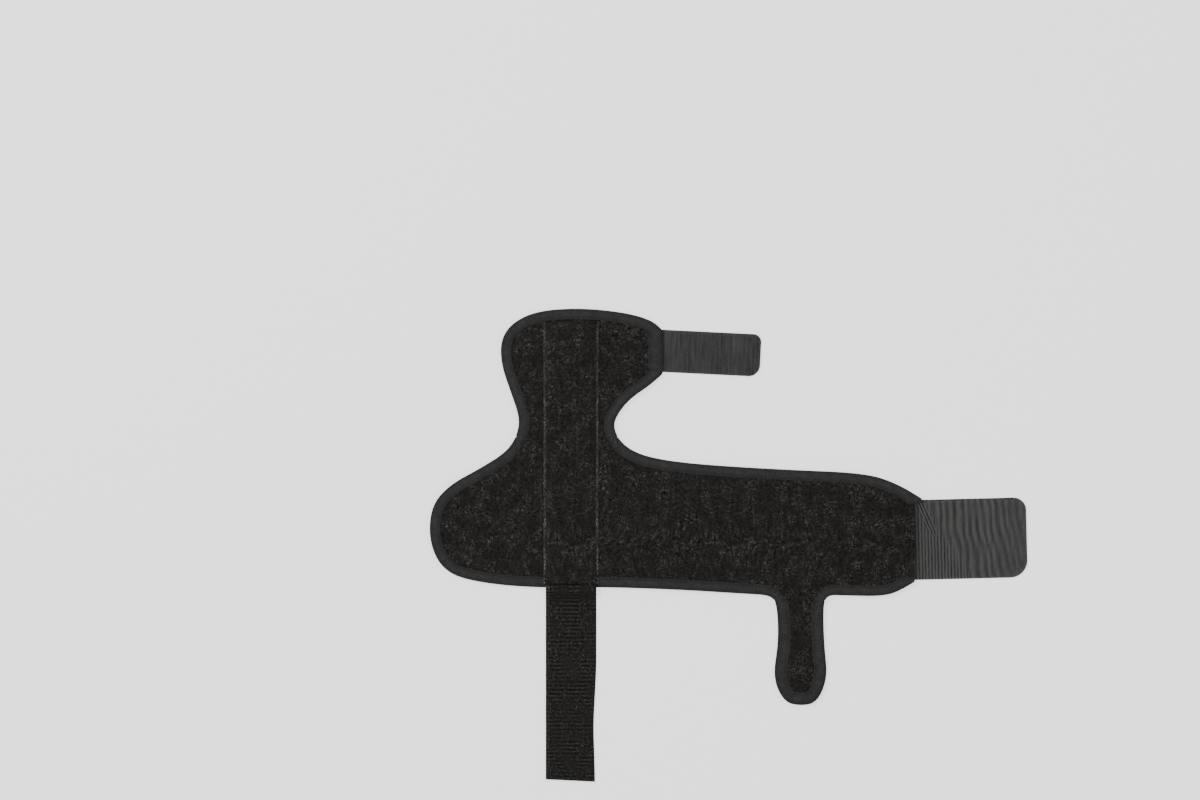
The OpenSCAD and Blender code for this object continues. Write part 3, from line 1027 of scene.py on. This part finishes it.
def from_edge(x, y):
    """Distance in from the nearer edge of the webbing."""
    left, right = strap_edges(y)
    return min(x - left, right - x)


def strap_under(x, y):
    """Height of the webbing's lower face along its path."""
    down = smooth(y, *DESCENT[::-1])
    sag = EDGE_SAG * max(0.0, 1 - from_edge(x, y) / 3.0) ** 2
    return (ANCHOR_HIGH[2] - STRAP_T - sag) * down + SKIN_GAP


def strap_place(u, v):
    """Plan of the webbing, with its cut end a little oblique."""
    left, right = strap_edges(v)
    oblique = CUT_SLANT * (1 - u) * smooth(v, STRAP_LOW[1] + 30, STRAP_LOW[1])
    return left + (right - left) * u, v + oblique


def strap_relief(u, v, station, upper):
    """How far the ribs, the worn patches and the rounded edges bring one face in from its full thickness."""
    left, right = strap_edges(v)
    x = left + (right - left) * u
    ribbed = smooth(x - left, SELVEDGE, SELVEDGE + 0.6) * smooth(right - x, 0, SELVEDGE_RIGHT)
    worn = 0.25 + 0.9 * smooth(swell(x, v, 12, 31), -0.4, 0.5)
    worn *= 0.4 + 0.6 * smooth(v, STRAP_LOW[1] + 12, STRAP_LOW[1] + 45)
    rib = 0.5 + 0.5 * math.cos(2 * math.pi * station / RIB_PITCH)
    edge = 0.25 * max(0.0, 1 - from_edge(x, v) / 0.7) ** 2
    sealed = SEAL * (1 - smooth(v, STRAP_LOW[1], STRAP_LOW[1] + 1.6)) if upper else 0
    return -RIB_HEIGHT * rib * ribbed * worn - edge + sealed


def add_webbing():
    along = np.arange(ANCHOR_HIGH[1], STRAP_LOW[1], -RIB_PITCH / 6)[::-1]
    shares = np.concatenate([[0, 0.006, 0.02, 0.05, 0.09], np.linspace(0.12, 0.95, 22), [0.975, 0.99, 1]])
    stations = dict(zip(along, line_lengths([(y, strap_under(POCKET_X, y)) for y in along])))

    def upper(u, v):
        x, y = strap_place(u, v)
        return x, y, strap_under(x, v) + STRAP_T + strap_relief(u, v, stations[v], True)

    def lower(u, v):
        x, y = strap_place(u, v)
        return x, y, max(strap_under(x, v) - strap_relief(u, v, stations[v], False) - SKIN_GAP, 0.0)

    webbing = grid_sheet("webbing_strap_woven", shares, along, upper, lower,
                         uv=lambda u, v: (stations[v], u * STRAP_WIDTH))
    attach(webbing, "strap", "strap_webbing", ["strap_anchor", "webbing_strap"])


# ---- hook tape tabs

HOOK_PITCH_ALONG = 1.7
HOOK_PITCH_ACROSS = 1.45
HOOK_R = 0.19
HOOK_SIDES = 5
HOOK_MARGIN = 1.3  # plain border round the hooks
HOOK_CLEAR = 0.35  # least distance of a hook inside that border
FIRST_ROW = 3.2  # from the fold line
FIRST_HOOK = 1.9  # from the tab's lower edge
LAST_HOOK = 1.5  # from its upper edge
HOOK_LEAN = 0.25
HOOK_SUNK = 0.05
BAND_HEIGHT = 0.07  # the tape's own wave under the bands
END_LIFT = 0.25
STITCH_LOW = 0.2  # height of the root's stitches under the panel
TAB_STEP = 1.0
ROOT_SEAM = 1.8  # from the root's end to the row of stitches that holds it
END_SEAM = 3.0  # from the fold line to the next row, which shows on the wing's lining


class TabPlan:
    """Outline of a tab in its own frame: s runs from the fold line to the free end, t across it."""

    def __init__(self, body):
        loop = np.array(top_loops(f"{body}_tape")[0])
        sides = np.roll(loop, -1, axis=0) - loop
        lengths = np.linalg.norm(sides, axis=1)
        longest = np.argmax(lengths)
        self.along = sides[longest] / lengths[longest]
        if self.along[0] < 0:
            self.along = -self.along
        self.across = np.array([-self.along[1], self.along[0]])
        fold = JOINT_OF[body]["pos_m"]
        self.origin = np.array([fold[0], fold[1]]) / MM
        s = (loop - self.origin) @ self.along
        t = (loop - self.origin) @ self.across
        self.end, self.low, self.high = s.max(), t.min(), t.max()
        self.width = self.high - self.low
        self.r_low = self.end - s[t < self.low + 0.01].max()
        self.r_high = self.end - s[t > self.high - 0.01].max()
        root = np.array(top_loops(f"{body}_anchor")[0])
        self.root = ((root - self.origin) @ self.along).min()

    def place(self, s, t):
        return tuple(self.origin + self.along * s + self.across * t)

    def down(self, t):
        """Share of the way across, from the tab's upper edge."""
        return (self.high - t) / self.width

    def local(self, x, y):
        offset = np.array([x, y]) - self.origin
        return float(offset @ self.along), float(offset @ self.across)

    def outline(self, start, inset=0.0, steps=10):
        """Anticlockwise outline from a station along the tab to its round-cornered end."""
        low, high, end = self.low + inset, self.high - inset, self.end - inset
        points = [(start, low)]
        for side, first in ((-1, -90), (1, 0)):
            r = (self.r_low if side < 0 else self.r_high) - inset
            centre_t = low + r if side < 0 else high - r
            for k in range(steps + 1):
                turn = math.radians(first + 90 * k / steps)
                points.append((end - r + r * math.cos(turn), centre_t + r * math.sin(turn)))
        points.append((start, high))
        return [self.place(*p) for p in points]


# The broad bands are also painted into the wrist tab's tone, as light and shade of its leaning hooks.
BAND_PITCH = 5.2  # of the broad bands in which the wrist tab's hooks lean together
BAND_LEAN = 0.14  # how far they lean towards the free end, as a share of the tab's width
END_LINES = (2.5, 5.0)  # lines across the hand tab, in from its free end
CREASE_AHEAD, CREASE_ASIDE = 0.926, 0.378  # cosine and sine of the creases' turn


def band_phase(plan, s, t):
    slant = BAND_LEAN * plan.width * plan.down(t) ** 1.6 * (0.35 + s / plan.end)
    return 2 * math.pi * (s - slant + 3.3 * swell(s, t * 0.7, 16, 41)) / BAND_PITCH


def tab_tones(body, plan, s, t):
    """(tone, share of narrow bands, share of creases) at a place on a tab. On the wrist tab the broad bands
    in the tone, the narrow bands and the creases are painted light and shade of its ripples and leaning
    hooks.
    """
    cloudy = 0.10 * swell(s, t, 12, 44)
    if body == "hand_tab":
        lines = sum(math.exp(-((plan.end - s - at) / 0.6) ** 2) for at in END_LINES)
        return 0.45 + cloudy - 0.14 * lines, 0.06, 0.0
    down = plan.down(t)
    border = 6 + 34 * down
    narrow = 1 - smooth(s, border - 7, border + 7)
    broad = (1 - narrow) * (1 - 0.7 * smooth(s + 14 * down, plan.end * 0.75, plan.end * 1.1))
    broad *= 0.85 + 0.5 * swell(s, t, 13, 47)
    from_crease = CREASE_AHEAD * s + CREASE_ASIDE * (t - plan.high)
    crease_light_and_shade = smooth(from_crease, -1, 1) * (1 - smooth(from_crease, 4.5, 7)) * (1 - smooth(down, 0.3, 0.55))
    # Painted light and shade: broad bands where the hooks lean together.
    tone = 0.68 + 0.30 * broad * math.sin(band_phase(plan, s, t)) + cloudy
    return tone, narrow * (1 - crease_light_and_shade), 1.4 * crease_light_and_shade


def tab_lift(plan, s, t):
    """The free end rises a little off the table."""
    return END_LIFT * smooth(s, plan.end * 0.35, plan.end) * (0.6 + 0.4 * swell(s, t, 30, 43))


def add_tab(body):
    plan = TabPlan(body)
    tape_t = box_mm(f"{body}_tape")[1][2]

    def top(x, y):
        s, t = plan.local(x, y)
        wave = BAND_HEIGHT * math.sin(band_phase(plan, s, t)) * smooth(s, 0, 4)
        return tape_t + wave + tab_lift(plan, s, t)

    def under(x, y):
        s, t = plan.local(x, y)
        return 0.02 + tab_lift(plan, s, t)

    edge = plan.outline(plan.root)
    tape = cloth_sheet(f"{body}_woven_tape", [edge], TAB_STEP, TAB_STEP, top, under)
    add_tones(tape, body, plan)
    attach(tape, body, "hook_tape", [f"{body}_tape", f"{body}_anchor"])
    field = np.array(plan.outline(2 * HOOK_MARGIN, inset=HOOK_MARGIN))
    hooks = hook_field(f"{body}_hook_field", plan, field, top)
    add_tones(hooks, body, plan)
    attach(hooks, body, "hook_rows", [f"{body}_hooks"])
    add_root_stitches(body, plan)


def add_root_stitches(body, plan):
    """Rows that sew the tab's root under the panel: one near the root's end, and one through the lining."""
    ahead = Vector((*plan.across, 0))
    places = []
    for t in np.arange(plan.low + 3, plan.high - 2, STITCH_PITCH):
        x, y = plan.place(plan.root + ROOT_SEAM, t)
        places.append((Vector((x, y, STITCH_LOW)), ahead, -UP))
        x, y = plan.place(-END_SEAM, t)
        places.append((Vector((x, y, STITCH_LOW)), ahead, -UP))
        if body == "wrist_tab":
            places.append((Vector((x, y, lining_top(x, y) + 0.1)), ahead, UP))
    thread = stitch_row(f"{body}_root_thread", places, STITCH_LENGTH)
    attach(thread, JOINT_OF[body]["parent"], "edge_binding")


def add_tones(piece, body, plan):
    """Stores the tab's pattern at each point, and lays its UV map along and across the tab."""
    local = [plan.local(vertex.co.x / MM, vertex.co.y / MM) for vertex in piece.data.vertices]
    tones = np.array([tab_tones(body, plan, s, t) for s, t in local])
    for k, name in enumerate(TONE_LAYERS):
        layer = piece.data.attributes.new(name, "FLOAT", "POINT")
        layer.data.foreach_set("value", tones[:, k].astype(np.float32))
    set_uvs(piece.data, np.array(local) - [0, plan.high])


# One hook, side view: (forward, height, share of its radius)
HOOK_PATH = [(0.0, 0.0, 1.3), (0.0, 0.42, 1.0), (0.1, 0.7, 0.95), (0.34, 0.84, 0.9), (0.58, 0.68, 0.65)]


def hook_field(name, plan, field, ground):
    """Rows of hooks inside an outline. Every second row is half a pitch aside and faces the other way."""
    points, faces = [], []
    sides = zip(field, np.roll(field, -1, axis=0))
    near = tree_of(np.concatenate([resampled([a, b], 0.5) for a, b in sides]))
    row = 0
    s = FIRST_ROW
    while s < plan.end - HOOK_MARGIN:
        t = plan.low + FIRST_HOOK + (HOOK_PITCH_ACROSS / 2 if row % 2 else 0)
        while t < plan.high - LAST_HOOK:
            x, y = plan.place(s, t)
            if inside(x, y, field) and distance_to(near, x, y) > HOOK_CLEAR:
                faces.extend(tube_faces(len(points), len(HOOK_PATH), HOOK_SIDES))
                points.extend(hook_points(plan, s, t, 1 if row % 2 else -1, ground(x, y)))
            t += HOOK_PITCH_ACROSS
        s += HOOK_PITCH_ALONG
        row += 1
    return new_piece(name, points, faces)


def hook_points(plan, s, t, facing, ground):
    lean = HOOK_LEAN * math.sin(band_phase(plan, s, t))
    side = Vector((0, 1, 0))
    points = []
    for i, (ahead, height, share) in enumerate(HOOK_PATH):
        before, after = HOOK_PATH[max(i - 1, 0)], HOOK_PATH[min(i + 1, len(HOOK_PATH) - 1)]
        climb = after[1] - before[1]
        tangent = Vector((facing * (after[0] - before[0]) + lean * climb, 0, climb)).normalized()
        centre = Vector((s + facing * ahead + lean * height, t, ground - HOOK_SUNK + height))
        for rim in circle(centre, side, tangent.cross(side), HOOK_R * share, HOOK_SIDES):
            points.append((*plan.place(rim.x, rim.y), rim.z))
    return points


add_pocket()
add_sleeve()
add_webbing()
add_tab("hand_tab")
add_tab("wrist_tab")

# ---- stage, lights and camera

VIEW_WIDTH = 0.9  # width of floor that the camera sees
VIEW_CENTRE = (-0.0964, 0.1091)
CAMERA_HEIGHT = 4.5
SENSOR = 36.0
FLOOR_HALF = 3.0
FLOOR_Z = -0.0003
FLOOR_GLOW = 1.3  # keeps the floor near white, as a lit sweep is; it doesn't light the object
SKY_STRENGTH = 0.5


def add_floor():
    corners = [(x * FLOOR_HALF, y * FLOOR_HALF, FLOOR_Z) for x, y in ((-1, -1), (1, -1), (1, 1), (-1, 1))]
    mesh = bpy.data.meshes.new("floor")
    mesh.from_pydata(corners, [], [(0, 1, 2, 3)])
    floor = linked("floor", mesh)
    made, tree, shader = material("floor_white", 0.9, specular=0.1)
    shader.inputs["Base Color"].default_value = (0.93, 0.93, 0.93, 1)
    shader.inputs["Emission Color"].default_value = (1, 1, 1, 1)
    shader.inputs["Emission Strength"].default_value = FLOOR_GLOW
    floor.visible_diffuse = False
    floor.visible_glossy = False
    floor.data.materials.append(made)


def add_light(name, place, size, watts):
    lamp = bpy.data.lights.new(name, "AREA")
    lamp.shape = "DISK"
    lamp.size = size
    lamp.energy = watts
    light = linked(name, lamp)
    light.location = place
    towards = Vector((*VIEW_CENTRE, 0)) - Vector(place)
    light.rotation_euler = towards.to_track_quat("-Z", "Y").to_euler()
    light.visible_camera = False


def add_camera():
    data = bpy.data.cameras.new("camera")
    data.sensor_width = SENSOR
    data.lens = SENSOR * CAMERA_HEIGHT / VIEW_WIDTH
    data.clip_end = 50
    camera = linked("camera", data)
    camera.location = (*VIEW_CENTRE, CAMERA_HEIGHT)
    bpy.context.scene.camera = camera


def add_sky():
    world = bpy.data.worlds.new("studio")
    world.use_nodes = True
    background = world.node_tree.nodes["Background"]
    background.inputs[0].default_value = (1, 1, 1, 1)
    background.inputs[1].default_value = SKY_STRENGTH
    bpy.context.scene.world = world


add_floor()
add_sky()
add_light("key", (-1.1, 0.9, 1.6), 1.0, 19.5)
add_light("fill", (1.8, -0.8, 1.8), 1.8, 10)
add_camera()
